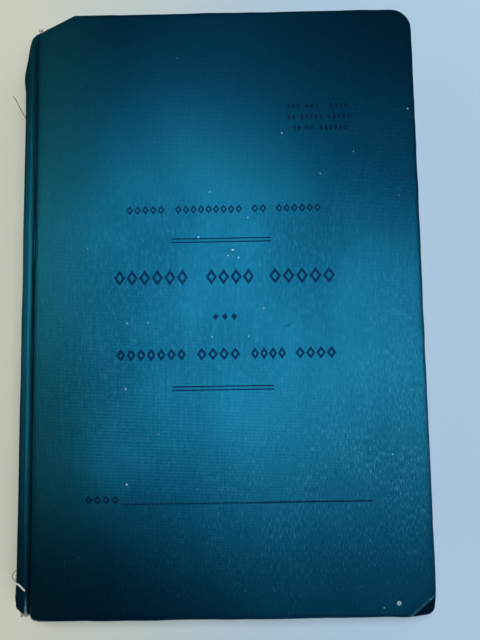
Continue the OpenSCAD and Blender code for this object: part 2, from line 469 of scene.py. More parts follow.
def brushed(n, place, off_highlight, colour):
    """Dashes on the upright threads, most of them low on the fore-edge side, and how rubbed they are."""
    dashes = n.noise(1.0, 2.0, 0.55, stretch=(2.6, 0.5, 1))
    low_right = n.fade(n.minus(place[0], place[1]), 30, 125)
    low_right = n.times(low_right, n.fade(off_highlight, 50, 102, 1, 0.15))
    patches = n.fade(n.noise(1.0, 2.0, stretch=(0.07, 0.05, 0.1)), 0.35, 0.6, 0.35, 1)
    worn = n.times(low_right, patches)
    most = n.times(worn, 0.6)
    colour = n.mix(n.times(n.fade(dashes, 0.46, 0.66), most), colour, RUBBED_BLUE)
    colour = n.mix(n.times(n.fade(dashes, 0.28, 0.46, 1, 0), most), colour, BLUE_DARK)
    limit = n.minus(0.67, n.times(worn, 0.08))
    return colour, n.fade(n.minus(dashes, limit), 0, 0.12, 0, 0.22)


def book_cloth(name):
    """Starch-filled dyed linen. The filling shines in the colour of the dye, and bare fibres are matt."""
    n = Nodes(name)
    place = n.split(n.rest())
    threads = weave(n, THREADS_X, THREADS_Y)
    mottle = n.noise(1.0, 3.0, 0.6, stretch=(1.1, 0.4, 1.0))
    fine = n.noise(2.6, 2.0, 0.6)
    # Distance from the middle line of the painted highlight
    off_highlight = n.math("ABSOLUTE", n.minus(place[1], HIGHLIGHT_Y))

    colour = dyed(n, place, threads, mottle, off_highlight)
    # Real dirt at the cover's edges, and painted shade in the spine's groove and on the spine near its
    # head and tail
    colour = n.mix(n.times(n.kept("soil_and_shade"), n.fade(fine, 0.2, 0.6, 0.85, 1)), colour, SHADE_AND_SOIL)
    colour, rubbed = brushed(n, place, off_highlight, colour)
    ragged = n.plus(n.kept("wear"), n.math("MULTIPLY_ADD", fine, 0.9, -0.45))
    rubbed = n.most(rubbed, n.fade(ragged, 0.35, 0.9, 0, 0.6))
    flecks = n.most(n.specks(0.1, 0.03, 0.3), n.specks(0.27, 0.05, 0.06))
    rubbed = n.most(rubbed, n.times(flecks, 0.5))
    colour = n.mix(rubbed, colour, n.mix(flecks, FIBRE, SPECK))
    colour, pale = cover_marks_and_painted_light(n, place, colour)
    torn = n.fade(n.plus(n.kept("bare"), n.math("MULTIPLY_ADD", fine, 0.5, -0.25)), 0.5, 0.62)
    colour = n.mix(torn, colour, n.mix(n.fade(fine, 0.35, 0.65), FRAYED, BOARD_GREY))

    n.bump(n.plus(n.times(threads, 0.6), n.times(mottle, 0.4)), 0.00012, 0.6)
    matt = n.most(n.most(rubbed, torn), pale, clamp=True)
    n.shader.inputs["Specular IOR Level"].default_value = 0.3
    n.shader.inputs["Specular Tint"].default_value = GLANCE_TINT
    return n.set(base_color=colour, roughness=n.fade(fine, 0.3, 0.7, 0.32, 0.4),
                 metallic=n.math("MULTIPLY_ADD", matt, -DYE_GLOSS, DYE_GLOSS, clamp=True))


def ink(name):
    """Dark stamped ink that lets the weave through and misses some of it."""
    n = Nodes(name)
    threads = weave(n, THREADS_X, THREADS_Y)
    patchy = n.noise(1.3, 3.0, 0.6)
    colour = n.mix(n.fade(patchy, 0.5, 0.8), INK_BLUE, INK_MISSED)
    n.bump(threads, 0.0001, 0.4)
    n.shader.inputs["Specular IOR Level"].default_value = 0.2
    return n.set(base_color=colour, metallic=0.9, roughness=n.fade(patchy, 0.3, 0.7, 0.29, 0.36))


def grey_board(name):
    n = Nodes(name)
    fibres = n.noise(1.6, 5.0, 0.7, stretch=(1, 1, 5))
    colour = n.mix(fibres, rgb(0.2, 0.18, 0.14), rgb(0.44, 0.4, 0.33))
    colour = n.mix(n.specks(0.8, 0.14, 0.3), colour, rgb(0.12, 0.1, 0.08))
    n.bump(fibres, 0.00015, 0.6)
    return n.set(base_color=colour, roughness=0.9)


def old_paper(name, light, dark):
    """Endpapers, linings and the strip in the spine: toned at the edges, with brown spots."""
    n = Nodes(name)
    fibres = n.noise(1.1, 5.0, 0.7, stretch=(1, 1, 3))
    clouds = n.noise(0.03, 3.0)
    colour = n.mix(n.fade(clouds, 0.3, 0.8, 0, 0.55), light, dark)
    colour = n.mix(n.fade(fibres, 0.3, 0.8, 0, 0.3), colour, dark)
    spots = n.specks(0.09, 0.09, 0.25)
    colour = n.mix(n.times(spots, n.fade(fibres, 0.3, 0.7, 0.1, 0.6)), colour, FOXING)
    colour = n.mix(n.times(n.kept("wear"), 0.6, clamp=True), colour, dark)
    n.bump(fibres, 0.00006, 0.4)
    return n.set(base_color=colour, roughness=0.85)


def ruling(n, along, pitch, width, field, strength):
    """A strength on ruled lines of one pitch within a field, and 0 off them."""
    line = n.math("LESS_THAN", n.math("PINGPONG", along, pitch / 2), width / 2)
    return n.times(line, n.times(field, strength))


def page_paper(name):
    """Cream ledger paper with blue rows and red columns, and faint layers at the block's edges."""
    n = Nodes(name)
    place = n.split(n.rest())
    fibres = n.noise(1.3, 4.0, 0.7, stretch=(1, 1, 6))
    layers = n.noise(1.0, 2.0, 0.6, stretch=(0.02, 0.02, 9))
    colour = n.mix(n.fade(layers, 0.35, 0.65), rgb(0.72, 0.65, 0.48), rgb(0.6, 0.51, 0.35))
    colour = n.mix(n.fade(fibres, 0.35, 0.75, 0, 0.25), colour, rgb(0.5, 0.41, 0.27))
    inside = [n.math("LESS_THAN", n.math("ABSOLUTE", n.minus(place[axis], middle)), reach)
              for axis, middle, reach in RULED_FIELD]
    field = n.times(*inside)
    colour = n.mix(ruling(n, place[1], LEAF_RULE, 0.26, field, 0.55), colour, RULE_BLUE)
    across = n.minus(place[0], RULED_FIELD[0][1])
    colour = n.mix(ruling(n, across, COLUMN_RULE, 0.28, field, 0.6), colour, RULE_RED)
    n.bump(n.plus(fibres, n.times(layers, 0.8)), 0.00008, 0.5)
    return n.set(base_color=colour, roughness=0.82)


def linen(name, pitch, light, dark, on_cad=False):
    n = Nodes(name, on_cad)
    threads = weave(n, pitch, pitch)
    fine = n.noise(1.5, 3.0, 0.6)
    colour = n.mix(threads, dark, light)
    colour = n.mix(n.fade(fine, 0.4, 0.8, 0, 0.4), colour, dark)
    n.bump(threads, 0.00012, 0.7)
    return n.set(base_color=colour, roughness=0.85)


def thread(name, light, dark, on_cad=False):
    """Twisted thread: slanting plies."""
    n = Nodes(name, on_cad)
    place = n.split(n.rest())
    along = n.plus(n.plus(place[0], place[1]), place[2])
    plies = n.math("ABSOLUTE", n.math("SINE", n.times(along, 6.0)))
    colour = n.mix(plies, dark, light)
    n.bump(plies, 0.00006, 0.7)
    return n.set(base_color=colour, roughness=0.8)


CLOTH = book_cloth("book_cloth")
INK = ink("stamped_ink")
BOARD = grey_board("grey_board")
ENDPAPER = old_paper("endpaper", rgb(0.72, 0.64, 0.47), rgb(0.55, 0.44, 0.27))
MANILA = old_paper("manila", rgb(0.48, 0.37, 0.22), rgb(0.36, 0.26, 0.14))
KRAFT = old_paper("kraft", rgb(0.36, 0.24, 0.12), rgb(0.26, 0.16, 0.07))
PAGES = page_paper("ledger_paper")
TAPE_TONES = rgb(0.62, 0.55, 0.4), rgb(0.4, 0.34, 0.23)
TAPE = linen("linen_tape", 0.5, *TAPE_TONES)
MULL = linen("mull_cloth", 0.8, rgb(0.6, 0.55, 0.43), rgb(0.34, 0.29, 0.2))
CAD_TAPE = linen("linen_tape_ends", 0.5, *TAPE_TONES, on_cad=True)
CAD_SEWING = thread("sewing_thread", rgb(0.68, 0.62, 0.48), rgb(0.38, 0.32, 0.22), on_cad=True)
PALE_THREAD = thread("pale_thread", rgb(0.75, 0.74, 0.68), rgb(0.45, 0.45, 0.42))
GREY_THREAD = thread("grey_thread", rgb(0.36, 0.35, 0.32), rgb(0.2, 0.2, 0.19))
BROWN_THREAD = thread("brown_thread", rgb(0.28, 0.2, 0.12), rgb(0.12, 0.08, 0.04))


# ---- covers

EDGE_STEPS = np.array((0, 0.12, 0.3, 0.55, 0.9, 1.4, 2.3, 3.8, 6.0))
CORNERS = ((FORE_X - 2, CASE_H / 2 - 2), (FORE_X, -CASE_H / 2),
           (BOARD_X + 7, CASE_H / 2 - 3), (BOARD_X + 3, -CASE_H / 2 + 1))
BOARD_GAP = 0.15
BEND_SLOPE = 0.6
BEND_SOFT = 0.3


def stations(low, high, step):
    """Places from low to high, closer together at both ends."""
    count = int(round((high - low - 2 * EDGE_STEPS[-1]) / step))
    middle = np.linspace(low + EDGE_STEPS[-1], high - EDGE_STEPS[-1], count + 1)
    return np.concatenate([low + EDGE_STEPS[:-1], middle, high - EDGE_STEPS[-2::-1]])


def soft_ramp(t, blur=0.12):
    """0 below t = 0 and t above it, rounded at the turn."""
    return (t + np.sqrt(t * t + blur * blur)) / 2


def joint_side(y, half):
    """X of a cover's edge along the joint, cut off by the worn corners at head and tail."""
    head = soft_ramp((y - half + HEAD_WEAR[1]) / HEAD_WEAR[1])
    tail = np.clip((-y - half + TAIL_WEAR[1]) / TAIL_WEAR[1], 0, 1)
    return BOARD_X + HEAD_WEAR[0] * head + TAIL_WEAR[0] * (1 - (1 - tail ** 3) ** (1 / 3))


def fore_side(y, half, right):
    """X of a cover's fore edge, with its two round corners."""
    head = np.clip(y - half + FORE_HEAD_R, 0, FORE_HEAD_R)
    tail = np.clip(-y - half + FORE_TAIL_WEAR, 0, FORE_TAIL_WEAR)
    cut = FORE_HEAD_R - np.sqrt(FORE_HEAD_R ** 2 - head ** 2)
    return right - cut - FORE_TAIL_WEAR + np.sqrt(FORE_TAIL_WEAR ** 2 - tail ** 2)


def knocked(plan, amount=0.22):
    """The same plan with edges as uneven as a well-used cover's."""
    out = plan.copy()
    for index in np.ndindex(plan.shape[:2]):
        x, y = plan[index]
        hold = min(1, max(0, (x - BOARD_X - 2) / 8))
        out[index][0] += amount * hold * (wobble(x, y, 3, 0.09) + 0.5 * wobble(x, y, 9, 0.4) + 0.3)
        out[index][1] += amount * np.sign(y) * (wobble(x, y, 5, 0.09) + 0.5 * wobble(x, y, 7, 0.4) + 0.3)
    return out


def cover_plan(inset, step=2.8):
    """Grid of (x, y) over a cover, that far inside its outline."""
    half = CASE_H / 2 - inset
    right = FORE_X - inset
    across = (stations(BOARD_X, right, step) - BOARD_X) / (right - BOARD_X)
    plan = []
    for y in stations(-half, half, step):
        a, b = joint_side(y, half), fore_side(y, half, right)
        plan.append(np.column_stack([a + (b - a) * across, np.full(len(across), y)]))
    return knocked(np.array(plan))


def edge_distance(plan):
    """How far every point of a plan lies from the plan's outline."""
    rim = np.concatenate([plan[0], plan[1:, -1], plan[-1, -2::-1], plan[-2::-1, 0]])
    start, run = rim[:-1], np.diff(rim, axis=0)
    length = np.maximum((run ** 2).sum(1), 1e-9)
    flat = plan.reshape(-1, 2)
    out = np.empty(len(flat))
    for k, point in enumerate(flat):
        t = np.clip(((point - start) * run).sum(1) / length, 0, 1)
        out[k] = np.sqrt((((start + run * t[:, None]) - point) ** 2).sum(1).min())
    return out.reshape(plan.shape[:2])


def bruised(points):
    """Front-cover points with the corner at the tail of the fore edge bent down beyond its crease."""
    (ax, ay), (bx, by) = CREASE
    out = np.array(points, float)
    across = (out[..., 0] - ax) * (by - ay) - (out[..., 1] - ay) * (bx - ax)
    past = across / math.hypot(bx - ax, by - ay)
    out[..., 2] -= BEND_SLOPE * BEND_SOFT * soft_ramp(past / BEND_SOFT, 0.5)
    return out


def warped(x, y):
    """Height of the slight warp of a cover board."""
    return 0.10 * wobble(x, y, 1, 0.022) + 0.03 * wobble(x, y, 2, 0.09)


def cover_wear(plan, edge):
    """How rubbed, bare and dirty each point of a cover is."""
    wear = np.exp(-edge / 0.75) * 0.75
    bare = np.zeros_like(edge)
    for x, y in CORNERS:
        near = np.exp(-((plan[..., 0] - x) ** 2 + (plan[..., 1] - y) ** 2) / 30)
        wear = wear + 0.4 * near * np.exp(-edge / 1.5)
        bare = np.maximum(bare, near * np.exp(-edge))
    joint = np.clip(1 - (plan[..., 0] - BOARD_X) / 2, 0, 1)
    middle = np.exp(-(plan[..., 1] / 45) ** 2)
    inside = np.abs(plan[..., 1]) < CASE_H / 2 - 12
    wear = wear * np.where(inside, 1 - joint * (1 - 0.8 * middle), 1)
    wear = wear + 0.4 * joint * middle * np.exp(-edge / 0.8)
    soil_and_shade = 0.85 * np.exp(-edge / 0.7) * (1 - 0.9 * joint * middle)
    return {"wear": wear * 0.75, "bare": bare, "soil_and_shade": soil_and_shade}


def cover_piece(name, inset, low, high, radius, material, front):
    """A rolled-edge slab in the plan of a cover, from low to high above the book's base."""
    plan = cover_plan(inset)
    edge = edge_distance(plan)
    roll = radius - np.sqrt(radius ** 2 - np.clip(radius - edge, 0, radius) ** 2)
    top = np.dstack([plan, high - roll])
    base = np.dstack([plan, low + roll])
    if front:
        warp = np.array([[warped(*p) for p in row] for row in plan]) * np.clip(edge / 12, 0, 1)
        top[..., 2] += warp
        top, base = bruised(top), bruised(base)
    return sheet_solid(name, top, base, material, cover_wear(plan, edge))


def make_covers():
    """Each cover's cloth, and the board inside it."""
    inner = CLOTH_T + BOARD_GAP
    for kind, inset, roll, material, slot in (("cover_cloth", 0, 1.1, CLOTH, "book_cloth"),
                                              ("board", inner, 0.8, BOARD, "grey_board")):
        for side, low, high in (("front", CASE_T - COVER_T, CASE_T), ("back", 0, COVER_T)):
            piece = cover_piece(f"{kind}_{side}", inset, low + inset, high - inset, roll, material,
                                side == "front")
            settle(piece, f"{side}_cover", f"{side}_{kind}")


# ---- spine and joints

HEAD_Y = spine_high[1]
TAIL_Y = spine_low[1]
SPINE_STEPS = 8
FRONT_TURN = 6 * SPINE_STEPS
BACK_TURN = 7 * SPINE_STEPS
END_ROLL = 0.3
FOLLOW_MOST = 3.2

# Where the round of the spine is rubbed at mid-height: y, reach and strength
RUBBED_ROUND = (9, 24, 0.56)

# How far the round of the spine is pushed in, and how much painted shade it gets, at heights from tail to
# head
SPINE_PUSH = ((-112, 2.8), (-109.4, 1.7), (-107, 0.3), (-104, -0.2), (-96, 0.1), (40, 0.4), (74, 0.5),
              (83, 0.4), (88.5, -0.2), (92, 0.4), (96, 1.2), (101, 1.9), (104.5, 3.0), (107.5, 4.6))
SPINE_END_SHADE = ((-112, 0.95), (-60, 0.85), (-35, 0.5), (-18, 0.1), (25, 0.05), (50, 0.5), (80, 0.9),
              (112, 0.95))

# The two bodies that a piece bends between, and where its bend starts and ends
FRONT_BEND = ("front_block", "front_cover",
              metres(SPINE_X + 0.5, CASE_T - 6), metres(BOARD_X - 0.2, CASE_T - 0.5))
ROUND_BEND = ("back_block", "front_block", metres(SPINE_X, 6.5), metres(SPINE_X, CASE_T - 6.5))
BACK_BEND = ("back_cover", "back_block", metres(BOARD_X - 0.2, 0.5), metres(SPINE_X + 0.5, 6))
MIDDLE_BEND = ("back_block", "front_block", metres(0, CASE_T / 2 - 2), metres(0, CASE_T / 2 + 2))


def spine_curve():
    """Outside of the cloth from the front board round to the back board, as (x, z)."""
    half = [(BOARD_X + 0.15, 1.1), (BOARD_X - 0.6, 1.65), (BOARD_X - 1.5, 1.15), (BOARD_X - 2.8, 0.8),
            (BOARD_X - 4.6, 1.9), (BOARD_X - 6, 4), (SPINE_X, 6.5)]
    front = [(x, CASE_T - z) for x, z in half]
    return curve_through(front + half[::-1], SPINE_STEPS)


CURVE = spine_curve()
OUTWARD = profile_normals(CURVE)


def at_height(table, y):
    return float(np.interp(y, *zip(*table)))


def spine_roundness(k):
    """0 at the joints and 1 at the middle of the spine, for a point of the curve."""
    return float(np.clip((BOARD_X - 1.5 - CURVE[k][0]) / 4, 0, 1))


def spine_ends(k):
    """Y of the tail and the head of the cloth at a point of the curve, frayed a little."""
    ragged = 0.35 * wobble(k * 1.3, 4, 1, 1) + 0.2 * wobble(k * 4.1, 8, 1, 1)
    back = BOARD_X - CURVE[k][0]
    head = HEAD_Y + 1 - float(np.interp(back, (0, 0.6, 1.5, 3, 6), (0, 1.2, 2.9, 3.9, 4.4))) + ragged
    tail = TAIL_Y - 0.4 + 1.4 * spine_roundness(k) - 0.3 * wobble(k * 1.7, 2, 1, 1)
    return tail, head


def spine_painted_shade(k, y):
    """How much painted shade the cloth gets: the groove most, then the round of the spine near head and
    tail.
    """
    side = at_height(SPINE_END_SHADE, y)
    groove = float(np.interp(y, (10, 95), (0.95, 0.45)))
    back = BOARD_X - CURVE[k][0]
    shares = (0.3 * groove, groove, 0.5 * groove, 0.3 * side, 0.6 * side, side)
    return float(np.interp(back, (0, 0.6, 1.2, 1.9, 4.2, 5.4), shares))


def spine_point(k, y, depth):
    """A point that deep under the outside of the cloth, pushed and creased as the worn spine is."""
    roundness = spine_roundness(k)
    push = at_height(SPINE_PUSH, y) * roundness
    crease = 0.14 * wobble(CURVE[k][0] * 3, y * 0.12, CURVE[k][1] * 0.9, 0.5)
    near_end = math.exp(-(HEAD_Y + 1 - y) / 6) + math.exp(-(y - TAIL_Y + 1) / 5)
    crease += 0.45 * min(1, near_end) * wobble(k * 0.5, y * 0.35, 3, 1) * roundness
    x, z = CURVE[k] + OUTWARD[k] * (crease * min(1, roundness * 3) - depth)
    near_board = float(np.clip((CURVE[k][0] - BOARD_X + 1.5) / 1.6, 0, 1))
    follow = near_board * min(FOLLOW_MOST, joint_side(y, CASE_H / 2) - BOARD_X)
    return x + push + follow, y, z


def spine_wear(k, y, tail, head):
    """How rubbed and how bare the cloth is, at its ends, its shoulder and its round."""
    roundness = spine_roundness(k)
    head_end = math.exp(-(head - y) / 2.2)
    tail_end = math.exp(-(y - tail) / 2.2)
    on_top = CURVE[k][1] > CASE_T / 2
    shoulder = math.exp(-((CURVE[k][0] - BOARD_X + 1.6) / 0.5) ** 2) if on_top else 0
    rub = max(0, wobble(k * 0.15, y * 0.05, 6, 1)) * 0.3
    wear = 0.3 * (head_end + tail_end) + shoulder * (0.05 + rub + 0.85 * max(0, 1 - (y - tail) / 12))
    place, reach, strength = RUBBED_ROUND
    rubbed = math.exp(-((y - place) / reach) ** 2) * roundness ** 3
    return wear, 0.6 * head_end * roundness + 0.7 * tail_end + strength * rubbed


def spine_shell(name, first, last, near, far, material, short=0.0):
    """The shell between two depths along a stretch of the curve, a little short of its ends."""
    outer, inner, marks = [], [], []
    for share in stations(0, CASE_H, 2.4) / CASE_H:
        for k in range(first, last + 1):
            tail, head = spine_ends(k)
            y = tail + short + share * (head - tail - 2 * short)
            end = min(head - short - y, y - tail - short)
            thick = far + (0.35 * math.exp(-end / 9) if short == 0 else 0)
            roll = END_ROLL - math.sqrt(max(0, END_ROLL ** 2 - max(0, END_ROLL - end) ** 2))
            outer.append(spine_point(k, y, near + min(roll, (thick - near) / 2)))
            inner.append(spine_point(k, y, thick - min(roll, (thick - near) / 2.5)))
            marks.append((*spine_wear(k, y, tail, head), spine_painted_shade(k, y)))
    shape = -1, last + 1 - first, 3
    values = dict(zip(("wear", "bare", "soil_and_shade"), np.array(marks).T))
    return sheet_solid(name, np.reshape(outer, shape), np.reshape(inner, shape), material, values)


def make_spine():
    """The cloth of the two joints and, between them, of the hollow spine."""
    for name, first, last, bend, node, slot in (
            ("joint_cloth_front", 0, FRONT_TURN, FRONT_BEND, "front_hinge_cloth", "book_cloth"),
            ("spine_cloth_round", FRONT_TURN, BACK_TURN, ROUND_BEND, "spine_cloth", "spine_cloth"),
            ("joint_cloth_back", BACK_TURN, len(CURVE) - 1, BACK_BEND, "back_hinge_cloth", "book_cloth")):
        settle(spine_shell(name, first, last, 0, CLOTH_T, CLOTH), bend, node)


make_covers()
make_spine()


# ---- inside of the case

EDGE_TONE = 2.5
TURN_IN_RISE = 0.15
TAPE_RISE = 0.12
ENDPAPER_T = 0.17
FOLD_T = 0.12


def recess(x, y):
    """1 on the cloth turned in round a cover's inside, and 0 on the bare board within it."""
    in_from = min(FORE_X - x, CASE_H / 2 - abs(y))
    return 1 - float(np.clip((in_from - TURN_IN) / 1.6, 0, 1)) ** 0.8


def over_tape(x, y):
    """1 where a pastedown lies over the end of a sewing tape."""
    along = np.clip((BOARD_X + 25 - x) / 1.5, 0, 1)
    across = max(np.clip((TAPE_W / 2 + 0.6 - abs(y - middle)) / 1.2, 0, 1) for middle in TAPE_YS)
    return float(along * across)


def make_pastedown(side):
    """Endpaper glued inside a cover, with the turned-in cloth and the tapes showing through."""
    plan = cover_plan(SQUARE, 3.2)
    edge = edge_distance(plan)
    rise = [[max(TURN_IN_RISE * recess(x, y), TAPE_RISE * over_tape(x, y)) + 0.01 * wobble(x, y, 4, 0.3)
             for x, y in row] for row in plan]
    top = np.dstack([plan, COVER_T + 0.03 + np.array(rise)])
    base = np.dstack([plan, np.full(edge.shape, COVER_T - 0.02)])
    if side == "front":
        top[..., 2], base[..., 2] = CASE_T - top[..., 2], CASE_T - base[..., 2]
        top, base = bruised(top), bruised(base)
    piece = sheet_solid(f"pastedown_{side}", top, base, ENDPAPER, {"wear": np.exp(-edge / EDGE_TONE)})
    settle(piece, f"{side}_cover", f"{side}_pastedown")


def leaf_head(x):
    """Y of the head of a leaf, cut off at the worn corner beside the spine."""
    return BLOCK_Y - LEAF_CUT[1] * np.clip(1 - (x - FOLD_X) / LEAF_CUT[0], 0, 1)


def make_flyleaf(side):
    """The free leaf of an endpaper, next to the first or the last section."""
    node = f"{side}_flyleaf"
    low = box_mm(node)[0][2]
    xs = FOLD_X + 0.35 + stations(0, BLOCK_X - FOLD_X - 0.5, 4.5)
    grid = []
    for share in stations(0, CASE_H, 4.5) / CASE_H:
        for x in xs:
            y = -BLOCK_Y + 0.2 + share * (leaf_head(x) + BLOCK_Y - 0.4)
            grid.append((x, y, low + 0.03 * wobble(x, y, 5, 0.08)))
    outer = np.reshape(grid, (-1, len(xs), 3))
    wear = np.exp(-edge_distance(outer[..., :2]) / EDGE_TONE)
    piece = sheet_solid(f"free_leaf_{side}", outer + (0, 0, ENDPAPER_T), outer, ENDPAPER, {"wear": wear})
    settle(piece, f"{side}_block", node)


def make_endpaper_fold(side):
    """The part of an endpaper that crosses the joint from the board to the block."""
    top = box_mm("back_flyleaf")[1][2]
    points = [(BOARD_X + 0.8, COVER_T + 0.06), (BOARD_X - 0.3, COVER_T + 0.03), (BOARD_X - 1.2, COVER_T),
              (FOLD_X + 0.5, COVER_T - 0.04), (FOLD_X + 0.18, COVER_T + 0.08), (FOLD_X + 0.3, top)]
    curve = curve_through(points, 5)
    at_block, at_cover = metres(FOLD_X + 0.4, 0), metres(BOARD_X, 0)
    bend = "back_cover", "back_block", at_cover, at_block
    if side == "front":
        curve[:, 1] = CASE_T - curve[:, 1]
        bend = "front_block", "front_cover", at_block, at_cover
    normals = profile_normals(curve)
    tail, head = -BLOCK_Y + 0.3, BLOCK_Y - LEAF_CUT[1]
    outer = []
    for share in stations(0, CASE_H, 4.0) / CASE_H:
        y = tail + share * (head - tail)
        sway = [[0.03 * wobble(k, y * 0.1, 3, 1)] for k in range(len(curve))]
        outer.append(np.insert(curve + normals * sway, 1, y, axis=1))
    inner = np.array(outer) - np.insert(normals, 1, 0, axis=1) * FOLD_T
    piece = sheet_solid(f"endpaper_fold_{side}", np.array(outer), inner, ENDPAPER)
    settle(piece, bend, f"{side}_endpaper_fold")


# ---- sections

SHEETS = 4
PAPER = 0.1


def sheet_profile(low, high, fold_x, fore):
    """Outside of a folded sheet as (x, z), from its lower leaf's fore edge to its upper leaf's."""
    radius = (high - low) / 2
    bend = [(fold_x + radius - radius * math.cos(a), low + radius - radius * math.sin(a))
            for a in np.linspace(math.pi / 2, -math.pi / 2, 9)]
    flat = fold_x + radius + stations(0, fore - fold_x - radius, 13)[1:]
    return np.array([(x, low) for x in flat[::-1]] + bend + [(x, high) for x in flat])


def leaf_grid(line, number, s, shift_y):
    """One face of a folded sheet: its outline swept from tail to head, rippled at the fore edge."""
    grid = []
    for share in stations(0, CASE_H, 16) / CASE_H:
        for x, z in line:
            y = -BLOCK_Y + 0.3 + shift_y + share * (leaf_head(x) + BLOCK_Y - 0.6)
            near = max(0, (x - BLOCK_X + 8) / 8)
            ripple = 0.1 * near * wobble(number * 3 + s, y * 0.09, z * 0.2, 1)
            grid.append((x + ripple, y, z + 0.016 * wobble(x * 0.06, y * 0.05, number * 5.3, 1)))
    return grid


def make_section(number):
    """Four ruled sheets nested in each other and folded once, with uneven edges."""
    node = f"section_{number:02d}"
    low, high = box_mm(node)
    rise = (high[2] - low[2] - PAPER) / (2 * SHEETS - 1)
    rng = np.random.default_rng(100 + number)
    points, faces = [], []
    for s in range(SHEETS):
        fore = BLOCK_X - 0.25 - 0.25 * rng.random() + 0.06 * s
        shift_y = 0.25 * (rng.random() - 0.5)
        outer = sheet_profile(low[2] + s * rise, high[2] - s * rise, FOLD_X + 0.04 + s * rise, fore)
        inner = outer + profile_normals(outer) * PAPER
        grid = leaf_grid(outer, number, s, shift_y)
        faces += solid_faces(len(grid) // len(outer), len(outer), len(points))
        points += grid + leaf_grid(inner, number, s, shift_y)
    piece = add_mesh(f"leaves_of_{node}", points, faces, PAGES)
    body = {1: "front_block", SECTIONS: "back_block"}.get(number, f"leaves_{number:02d}")
    settle(piece, body, node)


# ---- back of the block

TAPES = ("head", "middle", "tail")
TAPE_YS = [sum(box_mm(f"tape_{where}"))[1] / 2 for where in TAPES]
TAPE_W = np.ptp(box_mm("tape_middle"), axis=0)[1]

# The lining ends below the place where the front board turns back
LINING_TOP = 14.9
LINING_TRIM = max(0.0, box_mm("spine_lining")[1][2] - LINING_TOP)


def make_back_strip(name, node, material, trim=0.0):
    """A strip on the back of the block, across the place where the book opens in the middle."""
    low, high = box_mm(node)
    ys = np.linspace(low[1], high[1], max(6, int((high[1] - low[1]) / 4)))
    zs = np.linspace(low[2] + trim, high[2] - trim, 30)
    outer = np.array([[(low[0], y, z) for z in zs] for y in ys])
    piece = sheet_solid(name, outer, outer + (high[0] - low[0], 0, 0), material)
    settle(piece, MIDDLE_BEND, node)


def make_inlay():
    """Stiff strip under the cloth of the spine."""
    near = CLOTH_T + 0.05
    piece = spine_shell("spine_strip", FRONT_TURN - 3, BACK_TURN + 3, near, CLOTH_T + 0.6, MANILA, 1.5)
    settle(piece, ROUND_BEND, "spine_inlay")


def finish_hidden(node, material):
    """A CAD piece whose shape is right as it is gets its material here."""
    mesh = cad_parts[node].data
    mesh.materials.clear()
    mesh.materials.append(material)


def make_inside():
    for make in (make_pastedown, make_flyleaf, make_endpaper_fold):
        for side in ("front", "back"):
            make(side)
    for number in range(1, SECTIONS + 1):
        make_section(number)
    for where in TAPES:
        make_back_strip(f"sewing_tape_{where}", f"tape_{where}", TAPE)
    make_back_strip("mull_strip", "mull", MULL)
    make_back_strip("paper_lining", "spine_lining", KRAFT, LINING_TRIM)
    make_inlay()
    for side in ("front", "back"):
        finish_hidden(f"sewing_{side}", CAD_SEWING)
        finish_hidden(f"{side}_tape_ends", CAD_TAPE)


# ---- stamped print

INK_T = 0.05
INK_SINK = 0.03
RULE_GAP = 1.3
RULE_STROKE = 0.5
NAME_STROKE = 0.55

# Rows of lozenges: the ends of their groups, their y, height and pitch, and the stroke of outlines
PRINT_ROWS = (
    (((-34, -19.5), (-16, 9), (12, 18), (21, 38)), 34.4, 3.4, 2.9, 0.62),
    (((-38.5, -11), (-5, 13), (18, 42.5)), 9.2, 6.0, 4.6, 0.95),
    (((-37.5, -12), (-8.5, 7.5), (11, 24), (27, 42)), -18.9, 4.6, 3.6, 0.82),
    (((-48.5, -36),), -69.7, 3.2, 3.1, 0.7),
    (((-3, 7),), -5.4, 2.6, 3.4, None),
    (((26, 31.3), (33, 38.3), (41.8, 49)), 73.2, 2.6, 1.75, None),
    (((26, 29.5), (30.8, 39.6), (41, 50)), 69.0, 2.6, 1.75, None),
    (((28, 31.5), (32.5, 36), (38, 48.6)), 64.8, 2.6, 1.75, None))


def add_ring(points, faces, outer, inner=None):
    """A thin raised loop of ink between two outlines. Without an inner one it is solid."""
    first = len(points)
    count = len(outer)
    for line in [outer] if inner is None else [outer, inner]:
        for rise in (INK_T, -INK_SINK):
            points.extend((x, y, CASE_T + warped(x, y) + rise) for x, y in line)
    top, low, inner_top, inner_low = (first + count * k for k in range(4))
    bands = [(top, low)]
    if inner is not None:
        bands += [(inner_top, inner_low), (top, inner_top), (low, inner_low)]
    for j in range(count):
        k = (j + 1) % count
        faces.extend((a + j, a + k, b + k, b + j) for a, b in bands)
    if inner is None:
        faces += [tuple(range(top, low)), tuple(range(low, low + count))]


def lozenge(x, y, width, height, steps=3):
    tips = [(x - width / 2, y), (x, y + height / 2), (x + width / 2, y), (x, y - height / 2)]
    out = []
    for (ax, ay), (bx, by) in zip(tips, tips[1:] + tips[:1]):
        out += [(ax + (bx - ax) * t / steps, ay + (by - ay) * t / steps) for t in range(steps)]
    return out


def bar(x0, x1, y, width):
    xs = np.linspace(x0, x1, max(2, int((x1 - x0) / 3)))
    return [(x, y + width / 2) for x in xs] + [(x, y - width / 2) for x in xs[::-1]]


def lozenge_row(points, faces, groups, y, height, pitch, stroke):
    """Groups of lozenges between the given ends: outlines, or solid where there is no stroke."""
    for x0, x1 in groups:
        count = max(1, int(round((x1 - x0) / pitch)))
        width = (x1 - x0) / count
        for k in range(count):
            x = x0 + width * (k + 0.5)
            if stroke is None:
                add_ring(points, faces, lozenge(x, y, min(height, pitch) * 0.86, height))
                continue
            shrink = 1 - 2 * stroke * math.hypot(1 / (width * 0.92), 1 / height)
            outer = lozenge(x, y, width * 0.92, height)
            inner = [(x + (px - x) * shrink, y + (py - y) * shrink) for px, py in outer]
            add_ring(points, faces, outer, inner)


